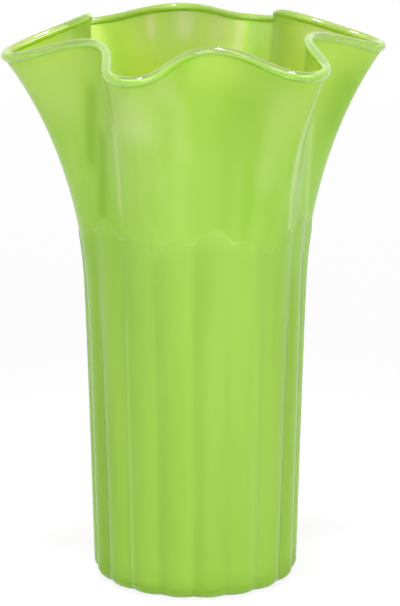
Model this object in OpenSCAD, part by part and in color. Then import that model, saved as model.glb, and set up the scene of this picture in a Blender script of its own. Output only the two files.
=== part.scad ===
// Hand-blown glass vase with a ruffled mouth. A lime glass body flares out to six folds, a second
// half gather of glass covers its lower part and carries the ribs, a clear wrap rounds off the lip
// and a polished button closes the pontil mark. Millimetres, +Z up, origin at the foot's centre.

/* [Body] */
// Height from the table to the highest crest of the lip
height = 300; // [250:1:350]
// Diameter over the ribs at the foot end
base_d = 108.8; // [95:0.2:125]
// Diameter of the inner body where the flare begins
waist_d = 115; // [106:0.5:130]
// Height at which the flare begins
flare_z = 166; // [150:1:185]
// Mean diameter of the mouth at the lip
mouth_d = 164.2; // [150:0.2:180]
// How sharply the flare turns outwards
flare_power = 1.66; // [1.4:0.02:2.2]
// Thickness of the inner body's wall
wall_t = 3.2; // [2.4:0.1:4]
// Thickness of the inner body's floor
floor_t = 7; // [5:0.5:10]
// Radius between the floor and the wall inside
floor_fillet = 9; // [5:0.5:14]

/* [Folds] */
// Number of folds round the mouth
folds = 6; // [5:1:8]
// Mean reach of a fold, out at a lobe and in at a valley
fold_reach = 17.1; // [8:0.1:19]
// Mean height of a fold, down at a lobe and up at a valley
fold_rise = 6.2; // [3:0.1:9]
// How late the folds grow up the wall
fold_power = 5.5; // [4:0.1:8]
// Angle of the first lobe
fold_turn = 8.5; // [0:0.1:59]
// How far the two sides of a lobe draw in towards its middle, in degrees
fold_pinch = 1.9; // [0:0.1:3]
// How far the side of a fold steepens, in degrees
fold_crimp = 1.4; // [0:0.1:2]

/* [Ribs] */
// Number of ribs round the body
ribs = 18; // [12:2:28]
// Angle of the groove nearest +X, in degrees
rib_turn = 9; // [0:0.5:30]
// Thickness of the casing at a rib's crest, at the foot end
casing_t = 3.2; // [2.4:0.1:4]
// Thickness of the casing at a rib's crest, at its upper edge
edge_t = 0.8; // [0.6:0.1:1.4]
// Thickness of the casing in the groove between two ribs, at the foot end
groove_t = 1.2; // [0.8:0.1:1.8]
// Mean height of the casing's upper edge
edge_z = 196; // [150:1:215]
// Height of the arch that each rib ends in
edge_arch = 5; // [2:0.5:9]
// How far the upper edge follows the folds, down at a lobe and up at a valley
edge_wave = 4; // [0:0.5:8]
// Radius of the casing's heel
heel_r = 6; // [4:0.5:9]
// Thickness of the casing under the floor
sole_t = 3.4; // [3:0.1:5]

/* [Lip] */
// Diameter of the rounded lip
lip_d = 5; // [4.4:0.1:7]

/* [Foot] */
// How far the flat ground ring that the vase stands on lies inside the curve of the heel
foot_inset = 2.4; // [0.5:0.1:6]
// How far the ground ring stands below the heel
foot_lift = 0.5; // [0.3:0.1:1]
// Diameter of the hollow ground out inside that ring
hollow_d = 44; // [34:1:56]
// Depth of that hollow
hollow_depth = 2; // [1.6:0.1:2.4]
// How far the hollow's wall slopes in from its mouth to its roof
hollow_slope = 1.5; // [0.5:0.1:3]

/* [Pontil] */
// Diameter of the glass button left by the pontil
button_d = 26; // [18:1:32]
// Thickness of that button
button_t = 1.1; // [0.8:0.1:1.4]

/* [Hidden] */

// How each fold differs from the mean, as shares of its reach, its rise and the angle from a lobe
// to its valley. The first is a lobe, the next the valley after it, and so on round the mouth.
reach_shares = [0.02, 0, -0.05, -0.11, 0.06, -0.05, 0.07, 0.2, -0.2, -0.07, 0.03, 0.02];
rise_shares = [-0.01, 0.01, 0, 0.07, -0.05, 0.14, -0.09, -0.1, 0.04, -0.09, 0.16, -0.15];
swing_shares = [-0.01, 0.01, 0.01, 0.01, -0.01, 0.01, -0.01, 0.02, -0.01, -0.03, -0.03, 0.02];

half_fold = 180 / folds;
crest_share = max([for (k = [1:2:2 * folds - 1]) 1 + rise_shares[k % len(rise_shares)]]);
lip_r = lip_d / 2;
lip_z = height - lip_r - fold_rise * crest_share;
foot_r = base_d / 2 - casing_t;
taper = (waist_d / 2 - foot_r) / flare_z;
flare_out = mouth_d / 2 - foot_r - taper * lip_z;
body_heel_r = max(heel_r - casing_t, heel_r / 3);
body_heel_z = sole_t + body_heel_r;
heel_top = foot_lift + heel_r;
foot_ring_r = base_d / 2 - (casing_t - groove_t) - heel_r - foot_inset;
heel_share = body_heel_z / lip_z;
inside_z = sole_t + floor_t;
fillet_share = (inside_z + floor_fillet) / lip_z;
groove_share = 1 - groove_t / casing_t;

// How far below the lip's centre its round surface meets the two faces of the wall
tongue = sqrt(max(lip_r * lip_r - wall_t * wall_t / 4, lip_r * lip_r / 4));
tongue_share = 1 - tongue / lip_z;

// The mesh: columns round the body and rows up it
columns_aim = 120;
rib_columns = 2 * max(2, round(columns_aim / ribs / 2));
columns = ribs * rib_columns;
column_angle = 360 / columns;
side_rows = 8;
flare_rows = 11;
inside_rows = 15;
heel_rows = 3;
lip_rows = 8;
flare_row_power = 0.85;
inside_row_power = 0.7;
edge_round_shares = [[0.985, 1], [0.995, 0.7]];

// How far the ground ring runs up into the heel, and how far the hollow's cutter starts below it
foot_seat = foot_lift;
cut = foot_lift;

// The steps over which the slope of the surface is measured
probe_angle = 0.5;
probe_share = 0.002;

lime = [0.6, 0.83, 0.28];
ribbed_lime = [0.55, 0.79, 0.26];
pale_lime = [0.78, 0.93, 0.6];
clear_tint = [0.86, 0.96, 0.8];

function mix(low, high, share) = low + (high - low) * share;
function ease(share) = share * share * (3 - 2 * share);
function unit(v) = v / norm(v);

// What a list of shares gives at an angle from the first lobe, eased from one entry to the next
function between(shares, angle) =
    let (place = (angle + 360) % 360 / half_fold, k = floor(place), n = len(shares))
    mix(shares[k % n], shares[(k + 1) % n], ease(place - k));

function lobe(a) = cos(folds * (a - fold_turn));
function reach(a) = fold_reach * (lobe(a) + between(reach_shares, a - fold_turn));
function rise(a) = fold_rise * (between(rise_shares, a - fold_turn) - lobe(a));
function swing(a) =
    let (b = folds * (a - fold_turn))
    half_fold * between(swing_shares, a - fold_turn) - fold_pinch * sin(b) + fold_crimp * sin(2 * b);

function mean_r(z) =
    foot_r + taper * z + flare_out * pow(max(0, (z - flare_z) / (lip_z - flare_z)), flare_power);

// A point of the inner body's outer surface: column angle a, share t of the way up to the lip
function skin_point(a, t) =
    let (grow = pow(t, fold_power), r = mean_r(t * lip_z) + grow * reach(a), turn = a + grow * swing(a))
    [r * cos(turn), r * sin(turn), t * lip_z + grow * rise(a)];

function skin_normal(a, t) = unit(cross(
    skin_point(a + probe_angle, t) - skin_point(a - probe_angle, t),
    skin_point(a, t + probe_share) - skin_point(a, t - probe_share)));

function skin_rise(a, t) = unit(skin_point(a, t + probe_share) - skin_point(a, t - probe_share));
function off_skin(a, t, distance) = skin_point(a, t) + distance * skin_normal(a, t);

// A quarter turn of heel: edge is its widest radius, r its own radius and top the height it ends at
function heel_point(a, edge, r, top, angle) =
    let (out = edge - r + r * cos(angle))
    [out * cos(a), out * sin(a), top + r * sin(angle)];

// 1 on a rib's crest and 0 in the groove beside it
function arch(a) = abs(sin(ribs * (a - rib_turn) / 2));
function casing_crest(t) = mix(casing_t, edge_t, min(1, t * lip_z / edge_z));
function casing_at(a, t) = casing_crest(t) * (1 - groove_share * (1 - arch(a)));
function edge_share(a) = (edge_z - edge_wave * lobe(a) + edge_arch * (arch(a) - 0.5)) / lip_z;

// A row of points, with a column in every groove
function ring(points_of) = [for (c = [0:columns - 1]) points_of(rib_turn + c * column_angle)];

// Rows of the inner body's outer surface
function body_heel_rows() = [for (k = [0:heel_rows])
    let (angle = -90 + 90 * k / (heel_rows + 1))
    ring(function(a) heel_point(a, mean_r(body_heel_z), body_heel_r, body_heel_z, angle))];
function body_side_rows() = [for (k = [0:side_rows])
    ring(function(a) skin_point(a, mix(heel_share, edge_share(a), k / side_rows)))];
function body_flare_rows() = [for (k = [1:flare_rows])
    let (up = pow(k / flare_rows, flare_row_power))
    ring(function(a) skin_point(a, mix(edge_share(a), tongue_share, up)))];
function lip_tongue_rows() = [
    ring(function(a) skin_point(a, 1)),
    ring(function(a) off_skin(a, 1, -wall_t))];

// Rows of the surface inside, from the lip down to the floor
function inside_wall_rows() = [for (k = [0:inside_rows])
    let (down = pow(k / inside_rows, inside_row_power))
    ring(function(a) off_skin(a, mix(tongue_share, fillet_share, down), -wall_t))];
function inside_floor_rows() =
    let (top = inside_z + floor_fillet)
    [for (k = [1:heel_rows + 1])
        let (angle = -90 * k / (heel_rows + 1))
        ring(function(a) heel_point(a, mean_r(top) - wall_t, floor_fillet, top, angle))];

// Rows of the casing's outer surface, from its upper edge down to the foot
function casing_side_rows() = [for (k = [side_rows - 1:-1:0])
    ring(function(a)
        let (t = mix(heel_share, edge_share(a), k / side_rows))
        off_skin(a, t, casing_at(a, t)))];
function casing_edge_rows() = [for (k = [len(edge_round_shares) - 1:-1:0])
    ring(function(a)
        let (t = mix(heel_share, edge_share(a), edge_round_shares[k][0]))
        off_skin(a, t, casing_at(a, t) * edge_round_shares[k][1]))];
function casing_heel_rows() = [for (k = [1:heel_rows + 1])
    let (angle = -90 * k / (heel_rows + 1))
    ring(function(a)
        heel_point(a, mean_r(heel_top) + casing_at(a, heel_top / lip_z), heel_r, heel_top, angle))];

// Joins rows of points into a closed solid, either capped at both ends or closed from last to first
module skin(rows, capped, inside_out = false) {
    n = len(rows);
    sides = [for (j = [0:n - (capped ? 2 : 1)]) for (c = [0:columns - 1])
        let (low = j * columns, high = (j + 1) % n * columns, d = (c + 1) % columns)
        each [[low + c, high + d, low + d], [low + c, high + c, high + d]]];
    caps = capped
        ? [[for (c = [0:columns - 1]) c], [for (c = [columns - 1:-1:0]) (n - 1) * columns + c]]
        : [];
    faces = concat(sides, caps);
    polyhedron(
        points = [for (row = rows) each row],
        faces = inside_out ? [for (f = faces) [for (k = [len(f) - 1:-1:0]) f[k]]] : faces,
        convexity = 12);
}

// The lime glass vessel itself: floor, wall and flare, with the tongue that the lip wraps
module inner_body() {
    color(lime)
        skin(concat(
            body_heel_rows(), body_side_rows(), body_flare_rows(), lip_tongue_rows(),
            inside_wall_rows(), inside_floor_rows()), capped = true);
}

// The half gather over the lower body, with its ribs, its arched upper edge and the foot
module ribbed_casing() {
    color(ribbed_lime)
        difference() {
            union() {
                skin(concat(
                    body_heel_rows(), body_side_rows(), casing_edge_rows(), casing_side_rows(),
                    casing_heel_rows()), capped = true, inside_out = true);
                cylinder(r = foot_ring_r, h = foot_lift + foot_seat, $fn = columns);
            }
            translate([0, 0, -cut])
                cylinder(
                    r1 = hollow_d / 2 + hollow_slope * cut / hollow_depth,
                    r2 = hollow_d / 2 - hollow_slope,
                    h = hollow_depth + cut,
                    $fn = columns);
        }
}

// The clear glass wrapped over the lip: it meets the tongue face to face and is round outside
module clear_lip() {
    dip = asin(tongue / lip_r);
    color(clear_tint)
        skin(concat(
            [ring(function(a) skin_point(a, tongue_share))],
            lip_tongue_rows(),
            [ring(function(a) off_skin(a, tongue_share, -wall_t))],
            [for (k = [lip_rows - 1:-1:1])
                let (angle = mix(-dip, 180 + dip, k / lip_rows))
                ring(function(a)
                    off_skin(a, 1, -wall_t / 2)
                    + lip_r * (cos(angle) * skin_normal(a, 1) + sin(angle) * skin_rise(a, 1)))]),
            capped = false, inside_out = true);
}

// The disc of clear glass that the pontil left, ground and polished inside its hollow
module pontil_button() {
    edge_round = button_t / 2;
    color(pale_lime)
        translate([0, 0, hollow_depth - button_t])
            rotate_extrude($fn = columns)
                union() {
                    square([button_d / 2 - edge_round, button_t]);
                    translate([0, edge_round])
                        square([button_d / 2, button_t - edge_round]);
                    translate([button_d / 2 - edge_round, edge_round])
                        circle(edge_round, $fn = columns_aim);
                }
}

inner_body();
ribbed_casing();
clear_lip();
pontil_button();
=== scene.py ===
"""Looks of a hand-blown vase of cloudy lime glass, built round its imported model.

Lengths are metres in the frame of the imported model: +Z runs up the axis of the body, the foot's centre
is the origin and -Y points towards the viewer. Every layer of glass starts as a round blank, is then
pressed or pulled into its shape, and takes the place of the solid of the same layer.
"""

import logging
import math
from abc import ABC, abstractmethod
from dataclasses import dataclass
from enum import Enum
from typing import Callable, ClassVar, Sequence

import bpy
import numpy as np
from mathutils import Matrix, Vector


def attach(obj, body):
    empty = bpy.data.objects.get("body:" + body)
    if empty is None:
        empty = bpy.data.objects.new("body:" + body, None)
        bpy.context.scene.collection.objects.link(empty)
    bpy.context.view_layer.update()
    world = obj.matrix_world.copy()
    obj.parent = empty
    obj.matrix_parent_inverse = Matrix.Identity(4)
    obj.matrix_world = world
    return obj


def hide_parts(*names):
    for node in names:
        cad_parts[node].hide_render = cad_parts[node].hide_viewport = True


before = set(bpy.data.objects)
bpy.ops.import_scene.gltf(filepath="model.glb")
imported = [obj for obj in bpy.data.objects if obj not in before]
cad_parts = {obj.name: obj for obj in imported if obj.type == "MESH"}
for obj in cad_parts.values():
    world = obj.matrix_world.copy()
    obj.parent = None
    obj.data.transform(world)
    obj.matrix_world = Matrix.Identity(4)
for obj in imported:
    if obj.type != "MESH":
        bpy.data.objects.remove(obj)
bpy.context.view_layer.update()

LOG = logging.getLogger("vase")
GLASS_IOR = 1.48
MILLIMETRES = 1000.0

# Points closer than WELD become one, and heights that differ by less than TOUCH count as equal
WELD = 2e-6
TOUCH = 1e-5

Colour = tuple[float, float, float]
Place = tuple[float, float]
Point = tuple[float, float, float]
Shares = tuple[float, ...]
Array = np.ndarray
Piece = bpy.types.Object
Socket = bpy.types.NodeSocket
Outputs = bpy.types.NodeOutputs


class Layer(Enum):
    """The layers of glass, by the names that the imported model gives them."""

    BODY = "inner_body"
    CASING = "ribbed_casing"
    LIP = "clear_lip"
    BUTTON = "pontil_button"


# The shape that all layers share


def ease(share: Array) -> Array:
    """Smooth a share from 0 to 1 so that it starts and ends level."""
    return share * share * (3 - 2 * share)


def part(value: Array, low: float, high: float) -> Array:
    """Give how far a value has come on the way from low to high, as 0 to 1."""
    return np.clip((value - low) / (high - low), 0, 1)


def bell(value: Array, width: float) -> Array:
    """Give 1 where a value is 0 and less on both sides, next to nothing two widths away."""
    return np.exp(-((value / width) ** 2))


def unit(vectors: Array) -> Array:
    """Scale each row of an array to length 1."""
    return vectors / np.linalg.norm(vectors, axis=1, keepdims=True)


@dataclass(frozen=True)
class VaseForm:
    """The form that all layers share: a round blank that flares, and the folds pulled into it.

    Angles are radians, and a share runs from 0 at the table to 1 at the middle of the lip. The shares of
    reach, rise and swing start at a lobe and hold one value for each lobe and each valley.
    """

    height: float = 0.300
    base_d: float = 0.1088
    waist_d: float = 0.115
    flare_z: float = 0.166
    mouth_d: float = 0.1642
    flare_power: float = 1.66
    wall_t: float = 0.0032
    casing_t: float = 0.0032
    lip_r: float = 0.0025
    folds: int = 6
    fold_reach: float = 0.0171
    fold_rise: float = 0.0062
    fold_power: float = 5.5
    fold_turn: float = math.radians(8.5)
    fold_pinch: float = math.radians(1.9)
    fold_crimp: float = math.radians(1.4)
    reach_shares: Shares = (0.02, 0, -0.05, -0.11, 0.06, -0.05, 0.07, 0.2, -0.2, -0.07, 0.03, 0.02)
    rise_shares: Shares = (-0.01, 0.01, 0, 0.07, -0.05, 0.14, -0.09, -0.1, 0.04, -0.09, 0.16, -0.15)
    swing_shares: Shares = (-0.01, 0.01, 0.01, 0.01, -0.01, 0.01, -0.01, 0.02, -0.01, -0.03, -0.03, 0.02)
    probe_angle: float = math.radians(0.3)
    probe_share: float = 0.0015

    @property
    def lip_z(self) -> float:
        """Height of the middle of the lip before the folds lift or lower it."""
        crest = max(1 + share for share in self.rise_shares[1::2])
        return self.height - self.lip_r - self.fold_rise * crest

    @property
    def foot_r(self) -> float:
        """Radius of the inner layer at the table."""
        return self.base_d / 2 - self.casing_t

    def mean_r(self, z: Array | float) -> Array:
        """Give the radius of the round blank's outer skin at a height.

        Args:
            z: Height above the table.

        Returns:
            The radius before any fold is pulled.
        """
        z = np.asarray(z, float)
        taper = (self.waist_d / 2 - self.foot_r) / self.flare_z
        flare = self.mouth_d / 2 - self.foot_r - taper * self.lip_z
        up = np.maximum(0, (z - self.flare_z) / (self.lip_z - self.flare_z))
        return self.foot_r + taper * z + flare * up**self.flare_power

    def side(self, heights: Array, out: Array | float = 0.0) -> list[Place]:
        """Give points of a blank's profile along its outer skin.

        Args:
            heights: Height of each point.
            out: Distance of the points outside the skin, below 0 inside it.

        Returns:
            Radius and height of each point.
        """
        return [(float(r), float(z)) for r, z in zip(self.mean_r(heights) + out, heights)]

    def between(self, shares: Shares, angle: Array) -> Array:
        """Ease round the mouth from one fold's share to the next.

        Args:
            shares: One share for each lobe and each valley, starting at a lobe.
            angle: Angle from the first lobe.

        Returns:
            The share at each angle.
        """
        values = np.array(shares)
        place = np.mod(angle, 2 * math.pi) / (math.pi / self.folds)
        low = np.floor(place).astype(int)
        start, end = values[low % len(values)], values[(low + 1) % len(values)]
        return start + (end - start) * ease(place - low)

    def lobe(self, angle: Array) -> Array:
        """Give 1 in the middle of a lobe and -1 in the middle of a valley."""
        return np.cos(self.folds * (angle - self.fold_turn))

    def skin(self, angle: Array, share: Array) -> Array:
        """Give points of the inner layer's outer skin.

        Args:
            angle: Angle of each point in the round blank.
            share: Share of the way up to the lip.

        Returns:
            One row of x, y and z for each point.
        """
        turned = angle - self.fold_turn
        grow = np.clip(share, 0, None) ** self.fold_power
        lobe = self.lobe(angle)
        reach = self.fold_reach * (lobe + self.between(self.reach_shares, turned))
        swing = (
            math.pi / self.folds * self.between(self.swing_shares, turned)
            - self.fold_pinch * np.sin(self.folds * turned)
            + self.fold_crimp * np.sin(2 * self.folds * turned)
        )
        rise = self.fold_rise * (self.between(self.rise_shares, turned) - lobe)
        r = self.mean_r(share * self.lip_z) + grow * reach
        a = angle + grow * swing
        return np.stack([r * np.cos(a), r * np.sin(a), share * self.lip_z + grow * rise], axis=1)

    def pull(self, angle: Array, share: Array, depth: Array, lift: Array) -> Array:
        """Pull points of the round blank into the folds.

        Args:
            angle: Angle of each point in the blank.
            share: Share of the way up to the lip.
            depth: Distance into the glass from the outer skin, below 0 outside it.
            lift: Distance past the share, along the rising wall.

        Returns:
            One row of x, y and z for each point.
        """
        high, low = self.skin(angle, share + self.probe_share), self.skin(angle, share - self.probe_share)
        ahead, behind = self.skin(angle + self.probe_angle, share), self.skin(angle - self.probe_angle, share)
        up = unit(high - low)
        out = unit(np.cross(ahead - behind, up))
        return self.skin(angle, share) - depth[:, None] * out + lift[:, None] * up


@dataclass(frozen=True)
class PaintedStreak:
    """A streak of painted light on the glass: paler above 0 for painted highlights and reflections, darker
    below 0 for painted shade.

    Its path holds an angle in degrees, to the right from the front, and a height in millimetres, both in
    the round blank and from the lowest point up. Its width is in degrees and its fade in millimetres.
    """

    path: tuple[Place, ...]
    width: float
    strength: float
    fade: float = 6.0

    def painted_light(self, angle: Array, z: Array) -> Array:
        """Give the streak's strength at points of the blank.

        Args:
            angle: Angle of each point, in radians from +X.
            z: Height of each point, in metres.

        Returns:
            Its full strength on the path, less beside it and past its ends.
        """
        angles, heights = zip(*self.path)
        high = z * MILLIMETRES
        off = np.mod(np.degrees(angle) + 90 - np.interp(high, heights, angles) + 180, 360) - 180
        past = np.maximum(heights[0] - high, 0) + np.maximum(high - heights[-1], 0)
        return self.strength * bell(off, self.width) * bell(past, self.fade)


def draw(painted_streaks: Sequence[PaintedStreak], angle: Array, z: Array) -> Array:
    """Add up the strengths of streaks at points of the blank."""
    return np.sum([streak.painted_light(angle, z) for streak in painted_streaks], axis=0)


# Modelling


def points_of(piece: Piece) -> Array:
    """Read the places of a mesh's points.

    Args:
        piece: The object that holds the mesh.

    Returns:
        One row of x, y and z for each point.
    """
    flat = np.empty(len(piece.data.vertices) * 3)
    piece.data.vertices.foreach_get("co", flat)
    return flat.reshape(-1, 3)


def round_places(points: Array) -> tuple[Array, Array, Array]:
    """Give the radius of each point, its angle in radians from +X and its height."""
    return np.hypot(points[:, 0], points[:, 1]), np.arctan2(points[:, 1], points[:, 0]), points[:, 2]


def move_points(piece: Piece, points: Array) -> None:
    """Put a mesh's points at new places.

    Args:
        piece: The object that holds the mesh.
        points: One row of x, y and z for each point.
    """
    piece.data.vertices.foreach_set("co", points.astype(np.float32).ravel())
    piece.data.update()


def mark(piece: Piece, **marks: Array) -> None:
    """Keep values or places on each point, for the finish to read.

    Args:
        piece: The object that holds the mesh.
        **marks: For each attribute, one number or one row of three for each point.
    """
    for name, values in marks.items():
        kind, key = ("FLOAT", "value") if values.ndim == 1 else ("FLOAT_VECTOR", "vector")
        attribute = piece.data.attributes.new(name, kind, "POINT")
        attribute.data.foreach_set(key, values.astype(np.float32).ravel())


def settle(name: str) -> Piece:
    """Name the primitive that was just added and move its origin to the scene's.

    Args:
        name: Name of the new piece.

    Returns:
        The piece, which is the active object.
    """
    bpy.ops.object.transform_apply(location=True, rotation=True, scale=True)
    piece = bpy.context.object
    piece.name = piece.data.name = name
    return piece


def select_faces(piece: Piece, wanted: Callable[[bpy.types.MeshPolygon], bool]) -> None:
    """Select the faces that pass a test, and leave the piece in edit mode.

    Args:
        piece: The object that holds the mesh.
        wanted: The test of a face.
    """
    bpy.ops.object.mode_set(mode="EDIT")
    bpy.ops.mesh.select_mode(type="FACE")
    bpy.ops.mesh.select_all(action="DESELECT")
    bpy.ops.object.mode_set(mode="OBJECT")
    for face in piece.data.polygons:
        face.select = wanted(face)
    bpy.ops.object.mode_set(mode="EDIT")


def spin_blank(name: str, profile: Sequence[Place], columns: int, doublings: int = 4) -> Piece:
    """Model a round blank: a profile is extruded, spun through a sector and copied until it closes.

    Args:
        name: Name of the new piece.
        profile: Radius and height of each point of the profile, from one end on the axis to the other.
        columns: Number of columns all round, a multiple of 2 to the power of the doublings.
        doublings: Number of times that the sector is doubled.

    Returns:
        The closed blank.
    """
    bpy.ops.mesh.primitive_plane_add(location=(profile[0][0], 0, profile[0][1]))
    bpy.ops.object.mode_set(mode="EDIT")
    bpy.ops.mesh.select_all(action="SELECT")
    bpy.ops.mesh.merge(type="CENTER")
    for (r0, z0), (r1, z1) in zip(profile, profile[1:]):
        bpy.ops.mesh.extrude_region_move(TRANSFORM_OT_translate={"value": (r1 - r0, 0, z1 - z0)})
    bpy.ops.mesh.select_all(action="SELECT")
    sector = 2 * math.pi / 2**doublings
    bpy.ops.mesh.spin(steps=columns // 2**doublings, angle=sector, center=(0, 0, 0), axis=(0, 0, 1))
    for turn in range(doublings):
        bpy.ops.mesh.select_all(action="SELECT")
        bpy.ops.mesh.duplicate()
        bpy.ops.transform.rotate(value=sector * 2**turn, orient_axis="Z", center_override=(0, 0, 0))
    bpy.ops.mesh.select_all(action="SELECT")
    bpy.ops.mesh.remove_doubles(threshold=WELD)
    bpy.ops.mesh.normals_make_consistent(inside=False)
    bpy.ops.object.mode_set(mode="OBJECT")
    return settle(name)


def arc(centre: Place, radii: Place, start: float, end: float, steps: int) -> list[Place]:
    """Give points along an arc of a profile.

    Args:
        centre: Radius and height of the arc's centre.
        radii: The arc's half widths along the radius and the height.
        start: First angle in degrees, from the outward direction.
        end: Last angle in degrees.
        steps: Number of steps between them.

    Returns:
        The points of the arc, both ends included.
    """
    angles = [math.radians(start + (end - start) * k / steps) for k in range(steps + 1)]
    return [(centre[0] + radii[0] * math.cos(a), centre[1] + radii[1] * math.sin(a)) for a in angles]


# Finishes


@dataclass(frozen=True)
class Graph:
    """The node tree of a material, a world or a group, wired in a few calls."""

    tree: bpy.types.NodeTree

    def node(self, kind: str, inputs: dict | None = None, **settings: object) -> bpy.types.Node:
        """Add a node.

        Args:
            kind: Blender's name of the node's type, without its ShaderNode prefix.
            inputs: A value or another node's output socket for each input, by name or number.
            **settings: Properties of the node itself.

        Returns:
            The new node.
        """
        made = self.tree.nodes.new(kind if kind.startswith("Node") else "ShaderNode" + kind)
        for name, value in settings.items():
            setattr(made, name, value)
        for key, value in (inputs or {}).items():
            if isinstance(value, Socket):
                self.tree.links.new(value, made.inputs[key])
            else:
                made.inputs[key].default_value = value
        return made

    def mark(self, name: str, output: str = "Fac") -> Socket:
        """Add an Attribute node that reads a mark, and give its value or, as Vector, its place."""
        return self.node("Attribute", attribute_name=name).outputs[output]

    def math(self, operation: str, a: Socket | float, b: Socket | float) -> Socket:
        """Add a Math node and give its result."""
        return self.node("Math", {0: a, 1: b}, operation=operation).outputs[0]

    def blend(self, share: Socket | float, a: Socket | Colour, b: Socket | Colour) -> Socket:
        """Add a colour mix and give its result, which is a for shares up to 0 and b from 1 on."""
        pair = [value if isinstance(value, Socket) else (*value, 1.0) for value in (a, b)]
        return self.node("Mix", {0: share, 6: pair[0], 7: pair[1]}, data_type="RGBA").outputs[2]

    def mix(self, share: Socket | float, a: Socket, b: Socket) -> Socket:
        """Add a mix of two shaders and give its result, which is a at 0 and b at 1."""
        return self.node("MixShader", {0: share, 1: a, 2: b}).outputs[0]

    def span(self, value: Socket, low: float, high: float, to_low: float = 0, to_high: float = 1) -> Socket:
        """Add a Map Range node that eases a value from one range to another, and give its result."""
        limits = {0: value, 1: low, 2: high, 3: to_low, 4: to_high}
        return self.node("MapRange", limits, interpolation_type="SMOOTHSTEP").outputs[0]

    def noise(self, place: Socket, scale: float, **settings: float) -> Socket:
        """Add a Noise Texture node and give its value."""
        return self.node("TexNoise", {"Vector": place, "Scale": scale, **settings}).outputs[0]

    def drawn_up(self, place: Socket, stretch: float) -> Socket:
        """Add a Mapping node that draws a pattern out along Z, and give its result."""
        return self.node("Mapping", {0: place, 3: (1, 1, stretch)}).outputs[0]

    def seen(self) -> Socket:
        """Tell the rays that show a thing apart from those that only carry its light.

        Returns:
            1 for rays that come straight from the camera, a reflection or clear glass.
        """
        path = self.node("LightPath").outputs
        straight = self.math("MAXIMUM", path["Is Camera Ray"], path["Is Glossy Ray"])
        return self.math("MAXIMUM", straight, path["Is Transmission Ray"])


def new_material(name: str) -> tuple[bpy.types.Material, Graph]:
    """Start a material.

    Args:
        name: Name of the material.

    Returns:
        The material and its graph, which is empty.
    """
    made = bpy.data.materials.new(name)
    made.use_nodes = True
    made.node_tree.nodes.clear()
    return made, Graph(made.node_tree)


class SharedGroup(ABC):
    """A group of shader nodes that several finishes place with their own values."""

    name: ClassVar[str]
    inputs: ClassVar[tuple[str, ...]] = ()
    outputs: ClassVar[tuple[str, ...]]

    @abstractmethod
    def wire(self, graph: Graph, given: Outputs) -> dict[str, Socket]:
        """Wire the inside of the group, and give the socket that feeds each output."""

    def tree(self) -> bpy.types.NodeTree:
        """Give the group's tree, built once.

        Returns:
            The tree, whose inputs are a place in the blank and the group's own numbers.
        """
        known = bpy.data.node_groups.get(self.name)
        if known is not None:
            return known
        tree = bpy.data.node_groups.new(self.name, "ShaderNodeTree")
        tree.interface.new_socket(name="Place", in_out="INPUT", socket_type="NodeSocketVector")
        for way, labels in (("INPUT", self.inputs), ("OUTPUT", self.outputs)):
            for label in labels:
                tree.interface.new_socket(name=label, in_out=way, socket_type="NodeSocketFloat")
        graph = Graph(tree)
        graph.node("NodeGroupOutput", self.wire(graph, graph.node("NodeGroupInput").outputs))
        return tree

    def put(self, graph: Graph, **values: float) -> Outputs:
        """Put the group into a finish with values for its inputs, and give its outputs."""
        inputs = {"Place": graph.mark("blank", "Vector"), **values}
        return graph.node("Group", inputs, node_tree=self.tree()).outputs


@dataclass(frozen=True)
class Milkiness(SharedGroup):
    """The cloudiness of the coloured glass: broad milky clouds and long cords stretched up the wall."""

    name = "milkiness"
    outputs = ("Cloud", "Cord")
    cloud_scale: float = 26.0
    cloud_stretch: float = 0.28
    cloud_limits: Place = (0.36, 0.66)
    cord_scale: float = 150.0
    cord_stretch: float = 0.05
    cord_limits: Place = (0.38, 0.64)

    def wire(self, graph: Graph, given: Outputs) -> dict[str, Socket]:
        """Turn a place in the blank into cloud and cord masks.

        Args:
            graph: The group's graph.
            given: The outputs of its Group Input node.

        Returns:
            The socket that feeds each output of the group.
        """
        broad = graph.drawn_up(given["Place"], self.cloud_stretch)
        cloud = graph.noise(broad, self.cloud_scale, Detail=3.0, Roughness=0.5, Distortion=0.4)
        fine = graph.drawn_up(given["Place"], self.cord_stretch)
        cord = graph.noise(fine, self.cord_scale, Detail=2.0, Roughness=0.55)
        return {"Cloud": graph.span(cloud, *self.cloud_limits), "Cord": graph.span(cord, *self.cord_limits)}


@dataclass(frozen=True)
class HandWork(SharedGroup):
    """The surface of glass worked by hand: slow waves from the blowing, fine chill marks and seeds."""

    name = "hand_work"
    inputs = ("Waves", "Chill")
    outputs = ("Height", "Matt", "Seed")
    wave_scale: float = 34.0
    wave_stretch: float = 0.35
    chill_scale: float = 520.0
    chill_limits: Place = (0.3, 0.75)
    seed_scale: float = 190.0
    seed_radii: Place = (0.05, 0.09)
    seed_rarity: Place = (0.86, 0.9)
    seed_height: float = 0.08

    def wire(self, graph: Graph, given: Outputs) -> dict[str, Socket]:
        """Turn a place in the blank into a height, a roughness change and a seed mask.

        Args:
            graph: The group's graph.
            given: The outputs of its Group Input node.

        Returns:
            The socket that feeds each output of the group.
        """
        slow = graph.drawn_up(given["Place"], self.wave_stretch)
        wave = graph.noise(slow, self.wave_scale, Detail=1.0, Roughness=0.4)
        chill = graph.noise(given["Place"], self.chill_scale, Detail=2.0)
        cell = graph.node("TexVoronoi", {"Vector": given["Place"], "Scale": self.seed_scale}).outputs
        spot = graph.span(cell["Distance"], *self.seed_radii, 1.0, 0.0)
        rare = graph.node("SeparateColor", {0: cell["Color"]}).outputs[0]
        seed = graph.math("MULTIPLY", spot, graph.span(rare, *self.seed_rarity))
        waves = graph.math("MULTIPLY", wave, given["Waves"])
        chills = graph.math("MULTIPLY", chill, given["Chill"])
        seeds = graph.math("MULTIPLY", seed, self.seed_height)
        height = graph.math("ADD", graph.math("ADD", waves, chills), seeds)
        return {"Height": height, "Matt": graph.span(chill, *self.chill_limits), "Seed": seed}


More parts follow.
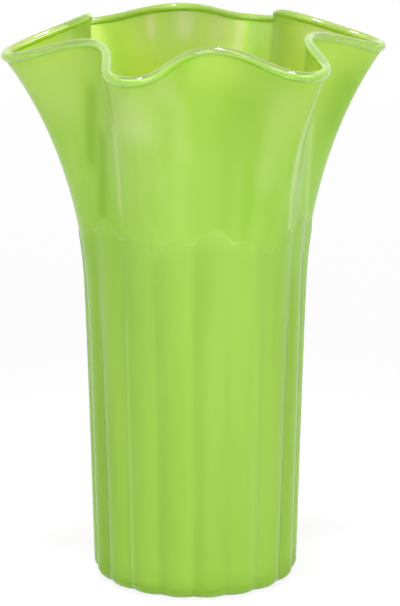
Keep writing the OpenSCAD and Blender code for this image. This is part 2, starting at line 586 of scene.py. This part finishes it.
@dataclass(frozen=True, kw_only=True)
class Glass(ABC):
    """What the finishes of all layers share: the hand-worked skin and the look of a wall seen edge-on."""

    name: str
    deep: Colour
    shade: Colour
    edge: Colour
    edge_from: float = 0.8
    edge_share: float = 0.6
    roughness: float = 0.13
    waves: float = 0.7
    chill: float = 0.02
    seed_share: float = 0.35

    def edged(self, graph: Graph, glass: Socket) -> Socket:
        """Let the glass go over to its edge colour where its skin turns away from the eye.

        Args:
            graph: The material's graph.
            glass: The shader of the glass seen straight on.

        Returns:
            The shader of the whole skin.
        """
        facing = graph.node("LayerWeight").outputs["Facing"]
        turned = graph.span(facing, self.edge_from, 1.0, 0.0, self.edge_share)
        edge = graph.node("BsdfDiffuse", {0: (*self.edge, 1.0)})
        return graph.mix(turned, glass, edge.outputs[0])

    @abstractmethod
    def make(self) -> bpy.types.Material:
        """Build the material from the marks that the layers of glass carry."""


@dataclass(frozen=True, kw_only=True)
class CloudyGlass(Glass):
    """Lime glass that glows: cloudy and coloured, glossy outside, thinner and clearer at the lip."""

    pale: Colour
    # The inner face's colour is lighter and yellower than the outside's: painted light, standing in for the
    # light that comes through the wall and down the mouth.
    inner: Colour = (0.67, 0.79, 0.095)
    thin: Colour
    glow: Colour
    # The paler colours of painted highlights and reflections, on the outside and on the inside.
    milk_and_highlight: Colour
    inner_highlight: Colour = (0.80, 0.74, 0.40)
    cord_share: float = 0.22
    inner_share: float = 0.8
    thin_in_cloudless: float = 0.45
    glow_share: float = 0.15
    glow_tint: float = 0.5
    matt: float = 0.06
    gloss: float = 0.15
    clear_at_lip: float = 0.3
    bump: float = 0.0005

    def tone(self, graph: Graph, thin: Socket, milk_and_highlight: Outputs, seed: Socket) -> Socket:
        """Blend the colour of the glass.

        Args:
            graph: The material's graph.
            thin: How thin the glass is, from its nearness to the lip.
            milk_and_highlight: The cloud and cord masks.
            seed: The mask of the seeds.

        Returns:
            The colour at each place.
        """
        inside, painted_light = graph.mark("inside"), graph.mark("painted_light")
        tone = graph.blend(milk_and_highlight["Cloud"], self.deep, self.pale)
        tone = graph.blend(graph.math("MULTIPLY", milk_and_highlight["Cord"], self.cord_share), tone, self.pale)
        # Painted light: the inner face takes its lighter colour.
        tone = graph.blend(graph.math("MULTIPLY", inside, self.inner_share), tone, self.inner)
        tone = graph.blend(thin, tone, self.thin)
        # Painted light: above 0 the colour turns paler for painted highlights and reflections, below 0 it
        # darkens towards the shade colour for painted shade.
        tone = graph.blend(painted_light, tone, graph.blend(inside, self.milk_and_highlight, self.inner_highlight))
        tone = graph.blend(graph.math("MULTIPLY", painted_light, -1.0), tone, self.shade)
        return graph.blend(graph.math("MULTIPLY", seed, self.seed_share), tone, self.thin)

    def make(self) -> bpy.types.Material:
        """Build the material.

        Returns:
            The material, which reads the marks that the layers of glass carry.
        """
        made, graph = new_material(self.name)
        milk_and_highlight, worked = Milkiness().put(graph), HandWork().put(graph, Waves=self.waves, Chill=self.chill)
        cloudiness = graph.span(milk_and_highlight["Cloud"], 0.0, 1.0, self.thin_in_cloudless, 1.0)
        thin = graph.math("MULTIPLY", graph.mark("near_lip"), cloudiness)
        tone = self.tone(graph, thin, milk_and_highlight, worked["Seed"])
        wavy = graph.math("MULTIPLY", worked["Height"], self.bump)
        height = graph.math("ADD", wavy, graph.mark("pressed"))
        normal = graph.node("Bump", {"Height": height, "Distance": 1.0, "Strength": 1.0}).outputs[0]
        clear = graph.math("MULTIPLY", thin, self.clear_at_lip)
        body = graph.node(
            "BsdfPrincipled",
            {
                "Base Color": tone,
                "Roughness": graph.span(worked["Matt"], 0, 1, self.roughness, self.roughness + self.matt),
                "Normal": normal,
                "Alpha": graph.math("SUBTRACT", 1.0, clear),
                "IOR": GLASS_IOR,
                "Specular IOR Level": self.gloss,
            },
        )
        lit = graph.blend(self.glow_tint, tone, self.glow)
        glow = graph.node("BsdfTranslucent", {"Color": lit, "Normal": normal})
        glass = graph.mix(self.glow_share, body.outputs[0], glow.outputs[0])
        graph.node("OutputMaterial", {0: self.edged(graph, glass)})
        return made


@dataclass(frozen=True, kw_only=True)
class ClearGlass(Glass):
    """Clear glass with a green tint, fire-polished or ground, and darker where painted shade is marked."""

    tint: Colour
    # The darker colour of painted shade, where the glass is marked for it.
    deep: Colour = (0.36, 0.55, 0.06)
    cloud: float = 0.0
    back_shade_cloud: float = 0.0
    seed_share: float = 0.5
    roughness: float = 0.04
    coat_roughness: float = 0.13
    coat_ior: float = 1.7
    edge_from: float = 0.65
    waves: float = 0.6
    chill: float = 0.01
    bump: float = 0.0002

    def make(self) -> bpy.types.Material:
        """Build the material.

        Returns:
            The material, which lets light pass straight through to the glass behind it.
        """
        made, graph = new_material(self.name)
        worked, back_shade = HandWork().put(graph, Waves=self.waves, Chill=self.chill), graph.mark("back_shade")
        # Painted shade: the tint darkens where marked, on the far part of the lip.
        tone = graph.blend(back_shade, self.tint, self.deep)
        tone = graph.blend(graph.math("MULTIPLY", worked["Seed"], self.seed_share), tone, self.shade)
        bump = graph.node("Bump", {"Height": worked["Height"], "Distance": self.bump, "Strength": 1.0})
        clear = graph.node(
            "BsdfPrincipled",
            {
                "Base Color": tone,
                "Roughness": graph.span(worked["Matt"], 0, 1, self.roughness, self.roughness * 2),
                "Normal": bump.outputs[0],
                "IOR": GLASS_IOR,
                "Transmission Weight": 1.0 - self.cloud,
                "Coat Weight": 1.0,
                "Coat Roughness": self.coat_roughness,
                "Coat IOR": self.coat_ior,
            },
        )
        # Painted shade: where marked, a share of the glass turns to dull diffuse glass of the darker colour.
        cloudy = graph.math("MULTIPLY", back_shade, self.back_shade_cloud)
        cloud = graph.node("BsdfDiffuse", {0: (*self.deep, 1.0)})
        glass = self.edged(graph, graph.mix(cloudy, clear.outputs[0], cloud.outputs[0]))
        shadow = graph.node("LightPath").outputs["Is Shadow Ray"]
        passed = graph.node("BsdfTransparent", {0: (*self.tint, 1.0)})
        graph.node("OutputMaterial", {0: graph.mix(shadow, glass, passed.outputs[0])})
        return made


# The layers of glass


class GlassLayer(ABC):
    """A layer of glass, which is modelled, gets its finish and takes the place of its solid.

    Edges that turn by more than its sharp angle stay sharp.
    """

    layer: ClassVar[Layer]
    sharp: ClassVar[float] = math.radians(50)
    finish: Glass

    @abstractmethod
    def build(self) -> Piece:
        """Model the layer and mark its points for the finish."""

    def dress(self, piece: Piece) -> None:
        """Smooth the piece, give it its finish and let it stand for its solid.

        Args:
            piece: The layer's mesh, which is still the active object.
        """
        bpy.ops.object.shade_smooth_by_angle(angle=self.sharp)
        piece.data.materials.append(self.finish.make())
        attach(piece, "root")
        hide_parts(self.layer.value)
        LOG.info("%s: %d points, %d faces", piece.name, len(piece.data.vertices), len(piece.data.polygons))


@dataclass
class LimeBody(GlassLayer):
    """The blown vessel itself: floor, wall and flare, with its end rounded inside the lip."""

    layer = Layer.BODY
    form: VaseForm
    sole_t: float = 0.0034
    heel_r: float = 0.0028
    floor_t: float = 0.007
    floor_fillet: float = 0.009
    under_rings: Shares = (0.0, 0.012, 0.03)
    floor_rings: Shares = (0.028, 0.014, 0.0)
    casing_z: float = 0.190
    core_drop: float = 0.0011
    core_rise: float = 0.0009
    # Painted shade on the wall's end inside the lip: how strongly it darkens, and the heights below the lip
    # over which it comes in.
    core_shade: float = 0.35
    core_shade_fade: Place = (-0.0028, -0.0016)
    thin_from: float = 0.8
    inside_from: float = 0.6
    heel_steps: int = 5
    round_steps: int = 8
    hidden_rows: int = 10
    shown_rows: int = 44
    inner_rows: int = 76
    columns: int = 480
    finish: CloudyGlass = CloudyGlass(
        name="lime_glass",
        deep=(0.335, 0.62, 0.065),
        pale=(0.42, 0.69, 0.115),
        thin=(0.50, 0.71, 0.115),
        glow=(0.50, 0.80, 0.09),
        milk_and_highlight=(0.60, 0.79, 0.26),
        shade=(0.24, 0.49, 0.03),
        # The pale edge is a painted reflection: where the skin turns away, at the folds and the outline, it
        # goes paler.
        edge=(0.42, 0.64, 0.18),
        edge_share=0.45,
    )
    # Painted light on the outer face, by angle and height: the pale marks are painted highlights and
    # reflections, many along the folds, and the dark ones painted shade.
    painted_streaks: tuple[PaintedStreak, ...] = (
        PaintedStreak(((-38.3, 220), (-36, 244), (-35, 259), (-39.5, 265.5), (-43.5, 272)), 1.8, 0.55, 14),
        PaintedStreak(((-37, 258), (-38, 285)), 6.0, 0.4, 8),
        PaintedStreak(((-53, 206), (-50.5, 223), (-48, 244)), 3.5, -0.7),
        PaintedStreak(((-57, 234), (-54.5, 251), (-53, 266)), 3.5, -0.7),
        PaintedStreak(((54, 200), (49.5, 215), (45, 244), (44, 257), (45, 268), (50, 280)), 1.8, 0.6),
        PaintedStreak(((78, 196), (75, 207), (71.5, 234), (71, 243)), 2.2, 0.45),
        PaintedStreak(((52, 232), (50, 250)), 4.0, 0.35, 8),
        PaintedStreak(((-66, 262), (-68, 280)), 11.0, 0.35, 10),
        PaintedStreak(((-21, 262), (-21, 276)), 8.0, 0.5, 10),
        PaintedStreak(((-25, 232), (-23, 262)), 11.0, 0.25, 14),
        PaintedStreak(((-4, 250), (-4.5, 268), (-9, 280)), 5.0, 0.4, 14),
        PaintedStreak(((3, 196), (3, 268)), 9.0, -0.3, 14),
        PaintedStreak(((31, 230), (31, 274)), 6.0, 0.3, 10),
        PaintedStreak(((15, 205), (16, 268)), 8.0, -0.45, 10),
        PaintedStreak(((84, 250), (87, 268)), 9.0, -0.6, 12),
        PaintedStreak(((99, 200), (96, 244), (100, 270)), 2.0, 0.4, 8),
        PaintedStreak(((120, 240), (122, 276)), 9.0, 0.3, 12),
        PaintedStreak(((141, 196), (143, 244), (148, 272)), 1.8, 0.5),
        PaintedStreak(((178, 214), (176, 262)), 7.0, 0.3, 14),
        PaintedStreak(((-158, 205), (-156, 244), (-150, 268)), 2.4, 0.4, 8),
        PaintedStreak(((-122, 225), (-124, 272)), 8.0, -0.4, 12),
        PaintedStreak(((-98, 196), (-95, 240)), 2.0, 0.45),
    )
    # Painted light on the inner face: the pale marks are painted reflections of the lamps, the dark ones
    # painted shade along the back wall's folds.
    inner_painted_streaks: tuple[PaintedStreak, ...] = (
        PaintedStreak(((-144.5, 280), (-144.5, 290)), 3.0, 0.5, 4),
        PaintedStreak(((-163.5, 279), (-163.5, 288)), 1.4, 0.7, 3),
        PaintedStreak(((-173.5, 278), (-173.5, 290)), 2.6, 0.6, 3),
        PaintedStreak(((165, 268), (165, 288)), 2.2, 0.6, 4),
        PaintedStreak(((154, 262), (152, 290)), 6.0, -0.2, 8),
        PaintedStreak(((174, 276), (174, 290)), 6.0, 0.5, 6),
        PaintedStreak(((-150, 256), (-148, 292)), 7.5, -0.45, 10),
        PaintedStreak(((-159, 272), (-158, 288)), 5.0, 0.2, 6),
        PaintedStreak(((156.5, 268), (159.5, 290)), 5.0, -0.5, 6),
        PaintedStreak(((116, 284), (112, 294)), 9.0, 0.5, 6),
        PaintedStreak(((133, 262), (129.5, 278), (129, 292)), 5.0, -0.2, 8),
    )

    @property
    def floor_z(self) -> float:
        """Height of the floor inside."""
        return self.sole_t + self.floor_t

    @property
    def wall_foot_z(self) -> float:
        """Height at which the rounded corner of the floor ends and the wall starts."""
        return self.floor_z + self.floor_fillet

    def profile(self) -> list[Place]:
        """Draw the blank's profile, from under the floor over the lip to the floor inside.

        Returns:
            Radius and height of each point.
        """
        form, heel_z = self.form, self.sole_t + self.heel_r
        under = [(r, self.sole_t) for r in self.under_rings]
        heel_r = float(form.mean_r(heel_z)) - self.heel_r
        heel = arc((heel_r, heel_z), (self.heel_r, self.heel_r), -90, 0, self.heel_steps)
        hidden = form.side(np.linspace(heel_z, self.casing_z, self.hidden_rows)[1:])
        end = form.lip_z - self.core_drop
        shown = form.side(np.linspace(self.casing_z, end, self.shown_rows)[1:])
        half = form.wall_t / 2
        middle = (float(form.mean_r(end)) - half, end)
        core = arc(middle, (half, self.core_rise), 0, 180, self.round_steps)[1:-1]
        down = form.side(np.linspace(end, self.wall_foot_z, self.inner_rows), -form.wall_t)
        turn = (down[-1][0] - self.floor_fillet, self.wall_foot_z)
        corner = arc(turn, (self.floor_fillet, self.floor_fillet), 0, -90, self.round_steps)[1:]
        floor = [(r, self.floor_z) for r in self.floor_rings]
        return under + heel + hidden + shown + core + down + corner + floor

    def build(self) -> Piece:
        """Spin the blank, mark its points and pull it into the folds.

        Returns:
            The finished mesh.
        """
        form = self.form
        piece = spin_blank("lime_body", self.profile(), self.columns)
        points = points_of(piece)
        r, angle, z = round_places(points)
        depth = form.mean_r(np.minimum(z, form.lip_z)) - r
        inside = (depth > form.wall_t * self.inside_from) & (z > self.floor_z - TOUCH)
        share = z / form.lip_z
        # Painted shade: the wall's end inside the lip is darkened towards the shade colour.
        core = np.where(inside, 0, self.core_shade * part(z - form.lip_z, *self.core_shade_fade))
        painted_light = np.where(inside, draw(self.inner_painted_streaks, angle, z), draw(self.painted_streaks, angle, z))
        near_lip = ease(part(share, self.thin_from, 1))
        mark(piece, blank=points, inside=inside, near_lip=near_lip, painted_light=painted_light * (1 - core) - core)
        pulled = form.pull(angle, np.minimum(share, 1), depth, np.maximum(z - form.lip_z, 0))
        still = z < self.wall_foot_z - TOUCH
        pulled[still] = points[still]
        move_points(piece, pulled)
        return piece


@dataclass
class RibbedCasing(GlassLayer):
    """The second gather over the lower body, pressed into ribs, with its heel, foot ring and hollow."""

    layer = Layer.CASING
    form: VaseForm
    ribs: int = 18
    rib_turn: float = math.radians(9)
    crest_t: float = 0.0032
    edge_t: float = 0.0008
    groove_t: float = 0.0012
    groove_round: float = 0.05
    edge_z: float = 0.196
    edge_arch: float = 0.005
    edge_wave: float = 0.004
    edge_fade: float = 0.007
    heel_r: float = 0.006
    foot_lift: float = 0.0005
    foot_r: float = 0.044
    foot_rings: Shares = (0.029, 0.036)
    hollow_r: float = 0.022
    hollow_rings: Shares = (0.0, 0.008)
    hollow_slope: float = 0.0015
    hollow_depth: float = 0.002
    ease_t: float = 0.0001
    sole_t: float = 0.0034
    sole_rings: Shares = (0.02, 0.0)
    inner_z: float = 0.008
    inner_step: float = 0.002
    bite: float = 0.0004
    crisp_t: float = 0.0011
    crisp_at_foot: float = 0.3
    crisp_fade: float = 0.06
    # A painted highlight along the casing's upper edge: its strength, its drop below the edge, its width and
    # the share that stays on the crests.
    edge_highlight: float = 0.45
    edge_highlight_drop: float = 0.0009
    edge_highlight_t: float = 0.0008
    edge_highlight_on_crest: float = 0.1
    # Painted shade: darker towards the foot and most at the heel by the table.
    foot_shade: float = 0.65
    heel_shade: float = 0.6
    heel_shade_z: float = 0.008
    heel_steps: int = 9
    side_rows: int = 50
    bend_rows: int = 9
    inner_rows: int = 9
    columns: int = 720
    finish: CloudyGlass = CloudyGlass(
        name="ribbed_lime_glass",
        deep=(0.33, 0.60, 0.07),
        pale=(0.375, 0.64, 0.098),
        thin=(0.5, 0.7, 0.2),
        glow=(0.45, 0.78, 0.09),
        milk_and_highlight=(0.56, 0.76, 0.28),
        shade=(0.22, 0.40, 0.035),
        edge=(0.23, 0.41, 0.07),
        edge_from=0.76,
        edge_share=0.85,
        gloss=0.2,
    )
    # Painted light on the ribs: the pale marks are painted highlights beside the grooves, the dark ones
    # painted shade.
    painted_streaks: tuple[PaintedStreak, ...] = (
        PaintedStreak(((-38.3, 20), (-38.3, 140)), 1.4, 0.35, 20),
        PaintedStreak(((-4, 10), (-4, 180)), 2.5, 0.14, 10),
        PaintedStreak(((33.5, 10), (33.5, 125)), 2.5, 0.14, 20),
        PaintedStreak(((3, 10), (3, 180)), 3.0, -0.1, 10),
        PaintedStreak(((-64, 10), (-64, 190)), 5.0, -0.3, 10),
        PaintedStreak(((61.5, 10), (61, 160)), 5.0, -0.2, 10),
        PaintedStreak(((4, 165), (4, 196)), 13.0, -0.25, 30),
        PaintedStreak(((101, 15), (101, 150)), 1.4, 0.3, 16),
        PaintedStreak(((139, 30), (139, 180)), 2.2, 0.25, 16),
        PaintedStreak(((163, 10), (164, 180)), 3.0, -0.2, 14),
        PaintedStreak(((179, 60), (179, 185)), 1.4, 0.3, 16),
        PaintedStreak(((-139, 10), (-139, 130)), 1.4, 0.35, 20),
        PaintedStreak(((-118, 10), (-118, 180)), 4.0, -0.2, 14),
        PaintedStreak(((-99, 20), (-99, 180)), 2.4, 0.2, 14),
    )

    @property
    def heel_top(self) -> float:
        """Height at which the rounded heel ends and the ribbed side starts."""
        return self.foot_lift + self.heel_r

    @property
    def heel_middle_r(self) -> float:
        """Radius of the middle of the heel's arc."""
        return float(self.form.mean_r(self.heel_top) + self.crest(self.heel_top)) - self.heel_r

    def crest(self, z: Array | float) -> Array:
        """Give the casing's thickness at a rib's crest, at a height in the blank."""
        return self.crest_t + (self.edge_t - self.crest_t) * np.minimum(1, np.asarray(z, float) / self.edge_z)

    def arch(self, angle: Array) -> Array:
        """Give the rounded arch of the ribs.

        Args:
            angle: Angle of each point in the blank.

        Returns:
            1 on a rib's crest and 0 in the groove beside it.
        """
        soft = self.groove_round
        wave = np.sqrt(np.sin(self.ribs * (angle - self.rib_turn) / 2) ** 2 + soft**2) - soft
        return wave / (math.sqrt(1 + soft**2) - soft)

    def profile(self) -> list[Place]:
        """Draw the blank's profile, from the hollow under the foot round to the casing's inner face.

        Returns:
            Radius and height of each point.
        """
        form, fine = self.form, self.ease_t
        rim, depth = self.hollow_r - self.hollow_slope, self.hollow_depth
        hollow = [(r, depth) for r in (*self.hollow_rings, rim - 5 * fine)]
        hollow += [(rim + fine, depth - 3 * fine), (self.hollow_r - 3 * fine, 3 * fine)]
        ring = [(r, 0.0) for r in (self.hollow_r + 2 * fine, *self.foot_rings, self.foot_r - 2 * fine)]
        ring += [(self.foot_r, 2 * fine), (self.foot_r + fine, self.foot_lift)]
        middle = (self.heel_middle_r, self.heel_top)
        heel = arc(middle, (self.heel_r, self.heel_r), -90, 0, self.heel_steps)
        heights = np.linspace(self.heel_top, self.edge_z - self.edge_fade, self.side_rows)[1:]
        side = form.side(heights, self.crest(heights))
        end = np.linspace(0, 1, self.bend_rows)[1:]
        bend = form.side(self.edge_z - self.edge_fade * (1 - end), self.edge_t * (1 - ease(end)))
        inner = form.side(np.linspace(self.edge_z + 2 * fine, self.inner_z, self.inner_rows), -self.bite)
        roof = [(r, self.sole_t + self.bite) for r in (inner[-1][0] - self.inner_step, *self.sole_rings)]
        return hollow + ring + heel + side + bend + inner + roof

    def marks(self, angle: Array, z: Array) -> dict[str, Array]:
        """Work out the marks that the finish of the ribs reads.

        Args:
            angle: Angle of each point in the blank.
            z: Height of each point in the blank.

        Returns:
            A height, which makes the ribs look crisper, and the painted light: each painted streak, a painted
            highlight along the upper edge and painted shade that darkens towards the foot and heel.
        """
        arch, up = self.arch(angle), part(z, 0, self.edge_z)
        crisp = self.crisp_at_foot + (1 - self.crisp_at_foot) * up
        crisp = crisp * part(self.edge_z - z, 0, self.crisp_fade) * part(z, 0, self.heel_r)
        # A painted highlight along the upper edge, stronger in the grooves than on the crests.
        highlight = bell(self.edge_z - z - self.edge_highlight_drop, self.edge_highlight_t)
        highlight = highlight * self.edge_highlight * (1 + self.edge_highlight_on_crest - arch)
        # Painted shade, darker towards the foot and at the heel.
        foot = self.foot_shade * (1 - up) + self.heel_shade * bell(z, self.heel_shade_z)
        return {"pressed": self.crisp_t * arch * crisp, "painted_light": draw(self.painted_streaks, angle, z) + highlight - foot}

    def press(self, points: Array) -> Array:
        """Press the round sleeve into its ribs and let the heel follow them.

        Args:
            points: The points of the blank.

        Returns:
            The same points, with the hollow, the foot ring and the inner roof as they were.
        """
        form, heel_top = self.form, self.heel_top
        r, angle, z = round_places(points)
        arch = self.arch(angle)
        groove = (1 - self.groove_t / self.crest_t) * (1 - arch)
        edge = self.edge_z - self.edge_wave * form.lobe(angle) + self.edge_arch * (arch - 0.5)
        up = (z - heel_top) / (self.edge_z - heel_top)
        height = np.where(up > 0, heel_top + up * (edge - heel_top), z)
        out = r - form.mean_r(z)
        depth = np.where(out > 0, -out * (1 - groove), -out)
        pressed = form.pull(angle, height / form.lip_z, depth, np.zeros(len(points)))
        take = float(self.crest(heel_top)) * groove
        take = take * part(r, self.foot_r + 2 * self.ease_t, self.heel_middle_r)
        shrink = (r - take) / np.maximum(r, TOUCH)
        low = z < heel_top + TOUCH
        roof = low & (z > self.sole_t + self.bite - TOUCH) & (out < -self.bite / 2)
        heel = low & ~roof
        pressed[heel] = (points * np.stack([shrink, shrink, np.ones(len(r))], axis=1))[heel]
        pressed[roof] = points[roof]
        return pressed

    def build(self) -> Piece:
        """Spin the sleeve, mark its points and press it into the ribs.

        Returns:
            The finished mesh.
        """
        piece = spin_blank("ribbed_casing_glass", self.profile(), self.columns)
        points = points_of(piece)
        _, angle, z = round_places(points)
        none = np.zeros(len(points))
        mark(piece, blank=points, inside=none, near_lip=none, **self.marks(angle, z))
        move_points(piece, self.press(points))
        return piece


@dataclass
class ClearLip(GlassLayer):
    """The clear glass rounded over the lip, a little heavier on the lobes than in the valleys."""

    layer = Layer.LIP
    sharp = math.radians(60)
    form: VaseForm
    heavier: float = 0.05
    # Painted shade on the far part of the ring, coming in from just in front of the middle to the back.
    back_shade: Place = (-0.1, 0.9)
    columns: int = 480
    sides: int = 28
    finish: ClearGlass = ClearGlass(
        name="clear_lip_glass",
        tint=(0.57, 0.70, 0.15),
        shade=(0.8, 0.9, 0.6),
        edge=(0.42, 0.60, 0.12),
        cloud=0.1,
        back_shade_cloud=0.45,
    )

    def build(self) -> Piece:
        """Add a ring, mark its far part for painted shade and wrap it along the folds.

        Returns:
            The finished mesh.
        """
        form = self.form
        ring_r = float(form.mean_r(form.lip_z)) - form.wall_t / 2
        sides = {"major_segments": self.columns, "minor_segments": self.sides}
        radii = {"major_radius": ring_r, "minor_radius": form.lip_r}
        bpy.ops.mesh.primitive_torus_add(**sides, **radii, location=(0, 0, form.lip_z))
        piece = settle("clear_lip_glass")
        points = points_of(piece)
        r, angle, z = round_places(points)
        mark(piece, blank=points, back_shade=ease(part(points[:, 1] / ring_r, *self.back_shade)))
        thick = 1 + self.heavier * form.lobe(angle)
        depth = form.wall_t / 2 - (r - ring_r) * thick
        move_points(piece, form.pull(angle, np.ones(len(r)), depth, (z - form.lip_z) * thick))
        return piece


@dataclass
class PontilButton(GlassLayer):
    """The polished disc of clear glass in the hollow of the foot."""

    layer = Layer.BUTTON
    sharp = math.radians(40)
    radius: float = 0.013
    thickness: float = 0.0011
    roof_z: float = 0.002
    rim_share: float = 0.45
    rim_steps: int = 5
    dish_step: float = 0.003
    dish_sinks: Shares = (0.0000225, 0.0000675, 0.0001275)
    flat: float = 0.9
    least_area: float = 1e-5
    sides: int = 96
    finish: ClearGlass = ClearGlass(
        name="pontil_glass",
        tint=(0.62, 0.82, 0.38),
        shade=(0.8, 0.9, 0.6),
        edge=(0.3, 0.46, 0.16),
        roughness=0.06,
        waves=0.3,
        chill=0.03,
    )

    def build(self) -> Piece:
        """Add a disc, round its rims and dish its polished face.

        Returns:
            The finished mesh.
        """
        size = {"vertices": self.sides, "radius": self.radius, "depth": self.thickness}
        bpy.ops.mesh.primitive_cylinder_add(**size, location=(0, 0, self.roof_z - self.thickness / 2))
        piece = settle("pontil_button_glass")
        select_faces(piece, lambda face: abs(face.normal.z) > self.flat)
        bpy.ops.mesh.bevel(offset=self.thickness * self.rim_share, segments=self.rim_steps, affect="EDGES")
        select_faces(piece, lambda face: face.normal.z < -self.flat and face.area > self.least_area)
        for sink in self.dish_sinks:
            bpy.ops.mesh.inset(thickness=self.dish_step, depth=0)
            bpy.ops.transform.translate(value=(0, 0, sink))
        bpy.ops.object.mode_set(mode="OBJECT")
        mark(piece, blank=points_of(piece), back_shade=np.zeros(len(piece.data.vertices)))
        return piece


# The studio


class LampKind(Enum):
    """The kinds of lamp: a soft one with a wide face, and a narrow one that lights what stands under it."""

    SOFTBOX = "AREA"
    SNOOT = "SPOT"


@dataclass(frozen=True)
class Lamp:
    """A lamp of the studio, with its place, its aim and the settings of its light."""

    name: str
    kind: LampKind
    place: Point
    aim: Point
    settings: dict[str, float | str]

    def hang(self) -> None:
        """Add the lamp and turn it to its aim."""
        light = bpy.data.lights.new(self.name, self.kind.value)
        for setting, value in self.settings.items():
            setattr(light, setting, value)
        lamp = bpy.data.objects.new(self.name, light)
        bpy.context.scene.collection.objects.link(lamp)
        lamp.location = self.place
        lamp.rotation_euler = (Vector(self.aim) - Vector(self.place)).to_track_quat("-Z", "Y").to_euler()


@dataclass
class Studio:
    """The white table and world, the soft lamps and the camera."""

    floor_size: float = 40.0
    floor_fade: Place = (0.4, 1.6)
    paper: Colour = (0.9, 0.9, 0.9)
    paper_roughness: float = 0.8
    white: Colour = (1.0, 1.0, 1.0)
    sky: float = 0.745
    show: float = 0.86
    elevation: float = math.radians(14.81)
    distance: float = 1.88622
    target_z: float = 0.14551
    lens: float = 210.75
    shift: Place = (0.00767, 0.0093)
    lamps: tuple[Lamp, ...] = (
        Lamp("key_lamp", LampKind.SOFTBOX, (1.3, -1.95, 1.0), (0, 0, 0.17), {"energy": 20.5, "size": 2.0}),
        Lamp(
            "brow_lamp",
            LampKind.SOFTBOX,
            (-0.7, -1.15, 1.95),
            (0, 0, 0.24),
            {"energy": 11.5, "shape": "RECTANGLE", "size": 1.6, "size_y": 1.4},
        ),
        Lamp(
            "mouth_lamp",
            LampKind.SNOOT,
            (0, -0.35, 1.9),
            (0, 0, 0.28),
            {"energy": 270.0, "spot_size": math.radians(10.5), "spot_blend": 0.6, "shadow_soft_size": 0.22},
        ),
    )

    def table_material(self) -> bpy.types.Material:
        """Build the white of the table, which keeps a soft shadow.

        Returns:
            The material of the floor.
        """
        made, graph = new_material("white_table")
        paper = {"Base Color": (*self.paper, 1.0), "Roughness": self.paper_roughness}
        shaded = graph.node("BsdfPrincipled", paper).outputs[0]
        plain = graph.node("Emission", {0: (*self.white, 1.0)}).outputs[0]
        place = graph.node("TexCoord").outputs["Object"]
        away = graph.node("VectorMath", {0: place}, operation="LENGTH").outputs["Value"]
        show = graph.span(away, *self.floor_fade, self.show, 1.0)
        shown = graph.math("MULTIPLY", graph.seen(), show)
        graph.node("OutputMaterial", {0: graph.mix(shown, shaded, plain)})
        return made

    def build_table(self) -> None:
        """Lay the floor that the vase stands on."""
        bpy.ops.mesh.primitive_plane_add(size=self.floor_size, location=(0, 0, 0))
        floor = settle("studio_table")
        floor.data.materials.append(self.table_material())

    def build_world(self) -> None:
        """Surround the scene with plain light that shows as white."""
        world = bpy.data.worlds.new("studio_world")
        bpy.context.scene.world = world
        world.use_nodes = True
        world.node_tree.nodes.clear()
        graph = Graph(world.node_tree)
        level = graph.node("MapRange", {0: graph.seen(), 3: self.sky, 4: 1.0}).outputs[0]
        back = graph.node("Background", {0: (*self.white, 1.0), 1: level})
        graph.node("OutputWorld", {0: back.outputs[0]})

    def build_camera(self) -> None:
        """Set the camera up at the photograph's angle."""
        data = bpy.data.cameras.new("studio_camera")
        data.lens = self.lens
        data.shift_x, data.shift_y = self.shift
        camera = bpy.data.objects.new("studio_camera", data)
        bpy.context.scene.collection.objects.link(camera)
        back = Vector((0, -math.cos(self.elevation), math.sin(self.elevation)))
        camera.location = Vector((0, 0, self.target_z)) + self.distance * back
        camera.rotation_euler = (math.pi / 2 - self.elevation, 0, 0)
        bpy.context.scene.camera = camera

    def build(self) -> None:
        """Set the whole studio up."""
        self.build_table()
        self.build_world()
        for lamp in self.lamps:
            lamp.hang()
        self.build_camera()
        bpy.context.scene.view_settings.view_transform = "Standard"
        LOG.info("studio: %d lamps", len(self.lamps))


def main() -> None:
    """Build the vase layer by layer, then the studio round it."""
    logging.basicConfig(level=logging.INFO, format="%(name)s: %(message)s")
    form = VaseForm()
    for layer in (LimeBody(form), RibbedCasing(form), ClearLip(form), PontilButton()):
        layer.dress(layer.build())
    Studio().build()


if __name__ == "__main__":
    main()
